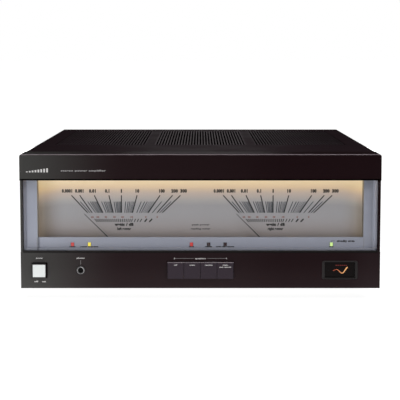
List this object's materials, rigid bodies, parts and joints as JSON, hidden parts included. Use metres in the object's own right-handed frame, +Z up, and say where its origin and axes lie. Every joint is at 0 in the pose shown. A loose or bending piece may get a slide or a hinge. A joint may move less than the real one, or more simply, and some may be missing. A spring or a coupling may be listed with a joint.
{
  "type": "stereo power amplifier",
  "caption": "Full-width hi-fi power amplifier with two power meters behind a wide window, speaker buttons, a headphone socket and a slotted cover.",
  "frame": {"origin": "on the surface the feet stand on, in the middle of the outer box", "axes": "-Y out of the front towards a listener, +X to the right of someone looking at the front, +Z up"},
  "size_m": [0.45, 0.438, 0.185],
  "materials": {
    "panel_black": "satin black anodising, fine brush marks across",
    "cover_black": "satin black paint with a fine texture",
    "zinc_steel": "zinc plated sheet, dull",
    "surround_silver": "silver paint, satin",
    "dial_paint": "matt silver-grey print ground with black and red-brown scales",
    "clear_window": "clear acrylic, polished",
    "needle_black": "matt black paint",
    "movement_plastic": "black moulded plastic",
    "reflector_white": "white moulded plastic",
    "lamp": "frosted lamp tube, warm when lit",
    "indicator_red": "red lens, lit",
    "indicator_yellow": "yellow lens, lit",
    "indicator_green": "yellow-green lens, lit",
    "indicator_dark": "dark red lens, not lit",
    "button_white": "white moulded plastic, fine grain",
    "button_black": "black moulded plastic, satin",
    "switch_plastic": "grey moulded plastic",
    "plated_metal": "nickel plate",
    "bezel_black": "black moulded plastic, polished bevel",
    "lens_dark": "dark smoked lens with an orange lit mark behind it",
    "foot_plastic": "black moulded plastic",
    "screw_black": "black oxide",
    "transformer_paint": "semi-gloss black paint",
    "capacitor_sleeve": "dark blue shrink sleeve",
    "heat_sink": "plain extruded aluminium",
    "transistor_case": "black moulded case",
    "circuit_board": "brown laminate",
    "terminal_red": "red moulded plastic",
    "terminal_black": "black moulded plastic",
    "socket_plastic": "black moulded plastic"
  },
  "bodies": {
    "amplifier": {"front_panel": "panel_black", "top_cover": "cover_black", "rear_panel": "cover_black", "base_chassis": "zinc_steel", "window_glass": "clear_window", "window_surround": "surround_silver", "dial_plate": "dial_paint", "lamp_reflector": "reflector_white", "meter_lamp": "lamp", "indicator_power": "indicator_red", "indicator_operation": "indicator_yellow", "indicator_main": "indicator_red", "indicator_remote": "indicator_dark", "indicator_both": "indicator_dark", "indicator_status": "indicator_green", "power_switch": "switch_plastic", "headphone_jack": "plated_metal", "speaker_switch_bank": "switch_plastic", "status_bezel": "bezel_black", "status_lens": "lens_dark", "power_transformer": "transformer_paint", "power_supply_board": "circuit_board", "input_socket_block": "plated_metal", "speaker_terminal_block": "socket_plastic", "mains_inlet": "socket_plastic", "meter_movement_left": "movement_plastic", "filter_capacitor_left": "capacitor_sleeve", "heat_sink_left": "heat_sink", "amplifier_board_left": "circuit_board", "output_transistor_left_front": "transistor_case", "foot_front_left": "foot_plastic", "cover_screw_front_left": "screw_black", "output_transistor_left_rear": "transistor_case", "foot_rear_left": "foot_plastic", "cover_screw_rear_left": "screw_black", "meter_movement_right": "movement_plastic", "filter_capacitor_right": "capacitor_sleeve", "heat_sink_right": "heat_sink", "amplifier_board_right": "circuit_board", "output_transistor_right_front": "transistor_case", "foot_front_right": "foot_plastic", "cover_screw_front_right": "screw_black", "output_transistor_right_rear": "transistor_case", "foot_rear_right": "foot_plastic", "cover_screw_rear_right": "screw_black"},
    "needle_left": {"meter_needle_left": "needle_black"},
    "needle_right": {"meter_needle_right": "needle_black"},
    "power_button": {"power_button": "button_white"},
    "speaker_button_off": {"speaker_button_off": "button_black"},
    "speaker_button_main": {"speaker_button_main": "button_black"},
    "speaker_button_remote": {"speaker_button_remote": "button_black"},
    "speaker_button_both": {"speaker_button_both": "button_black"},
    "terminal_cap_remote_right_plus": {"terminal_cap_remote_right_plus": "terminal_red"},
    "terminal_cap_remote_right_minus": {"terminal_cap_remote_right_minus": "terminal_black"},
    "terminal_cap_remote_left_plus": {"terminal_cap_remote_left_plus": "terminal_red"},
    "terminal_cap_remote_left_minus": {"terminal_cap_remote_left_minus": "terminal_black"},
    "terminal_cap_main_right_plus": {"terminal_cap_main_right_plus": "terminal_red"},
    "terminal_cap_main_right_minus": {"terminal_cap_main_right_minus": "terminal_black"},
    "terminal_cap_main_left_plus": {"terminal_cap_main_left_plus": "terminal_red"},
    "terminal_cap_main_left_minus": {"terminal_cap_main_left_minus": "terminal_black"}
  },
  "joints": [
    {"name": "needle_left_swing", "type": "hinge", "parent": "amplifier", "child": "needle_left", "pos_m": [-0.1, -0.195, 0.061], "axis": [0, 1, 0], "range_deg": [0, 92], "stiffness_Nm_per_rad": 0.001, "springref_deg": -5.73},
    {"name": "needle_right_swing", "type": "hinge", "parent": "amplifier", "child": "needle_right", "pos_m": [0.092, -0.195, 0.061], "axis": [0, 1, 0], "range_deg": [0, 92], "stiffness_Nm_per_rad": 0.001, "springref_deg": -5.73},
    {"name": "power_button_press", "type": "slide", "parent": "amplifier", "child": "power_button", "axis": [0, 1, 0], "range_m": [0, 0.004], "stiffness_N_per_m": 400},
    {"name": "speaker_button_off_press", "type": "slide", "parent": "amplifier", "child": "speaker_button_off", "axis": [0, 1, 0], "range_m": [0, 0.004], "stiffness_N_per_m": 400},
    {"name": "speaker_button_main_press", "type": "slide", "parent": "amplifier", "child": "speaker_button_main", "axis": [0, 1, 0], "range_m": [0, 0.004], "stiffness_N_per_m": 400},
    {"name": "speaker_button_remote_press", "type": "slide", "parent": "amplifier", "child": "speaker_button_remote", "axis": [0, 1, 0], "range_m": [0, 0.004], "stiffness_N_per_m": 400},
    {"name": "speaker_button_both_press", "type": "slide", "parent": "amplifier", "child": "speaker_button_both", "axis": [0, 1, 0], "range_m": [0, 0.004], "stiffness_N_per_m": 400},
    {"name": "terminal_cap_remote_right_plus_turn", "type": "hinge", "parent": "amplifier", "child": "terminal_cap_remote_right_plus", "pos_m": [-0.0205, 0.21, 0.107], "axis": [0, 1, 0], "range_deg": [0, 720]},
    {"name": "terminal_cap_remote_right_minus_turn", "type": "hinge", "parent": "amplifier", "child": "terminal_cap_remote_right_minus", "pos_m": [-0.0205, 0.21, 0.077], "axis": [0, 1, 0], "range_deg": [0, 720]},
    {"name": "terminal_cap_remote_left_plus_turn", "type": "hinge", "parent": "amplifier", "child": "terminal_cap_remote_left_plus", "pos_m": [0.0065, 0.21, 0.107], "axis": [0, 1, 0], "range_deg": [0, 720]},
    {"name": "terminal_cap_remote_left_minus_turn", "type": "hinge", "parent": "amplifier", "child": "terminal_cap_remote_left_minus", "pos_m": [0.0065, 0.21, 0.077], "axis": [0, 1, 0], "range_deg": [0, 720]},
    {"name": "terminal_cap_main_right_plus_turn", "type": "hinge", "parent": "amplifier", "child": "terminal_cap_main_right_plus", "pos_m": [0.0335, 0.21, 0.107], "axis": [0, 1, 0], "range_deg": [0, 720]},
    {"name": "terminal_cap_main_right_minus_turn", "type": "hinge", "parent": "amplifier", "child": "terminal_cap_main_right_minus", "pos_m": [0.0335, 0.21, 0.077], "axis": [0, 1, 0], "range_deg": [0, 720]},
    {"name": "terminal_cap_main_left_plus_turn", "type": "hinge", "parent": "amplifier", "child": "terminal_cap_main_left_plus", "pos_m": [0.0605, 0.21, 0.107], "axis": [0, 1, 0], "range_deg": [0, 720]},
    {"name": "terminal_cap_main_left_minus_turn", "type": "hinge", "parent": "amplifier", "child": "terminal_cap_main_left_minus", "pos_m": [0.0605, 0.21, 0.077], "axis": [0, 1, 0], "range_deg": [0, 720]}
  ]
}
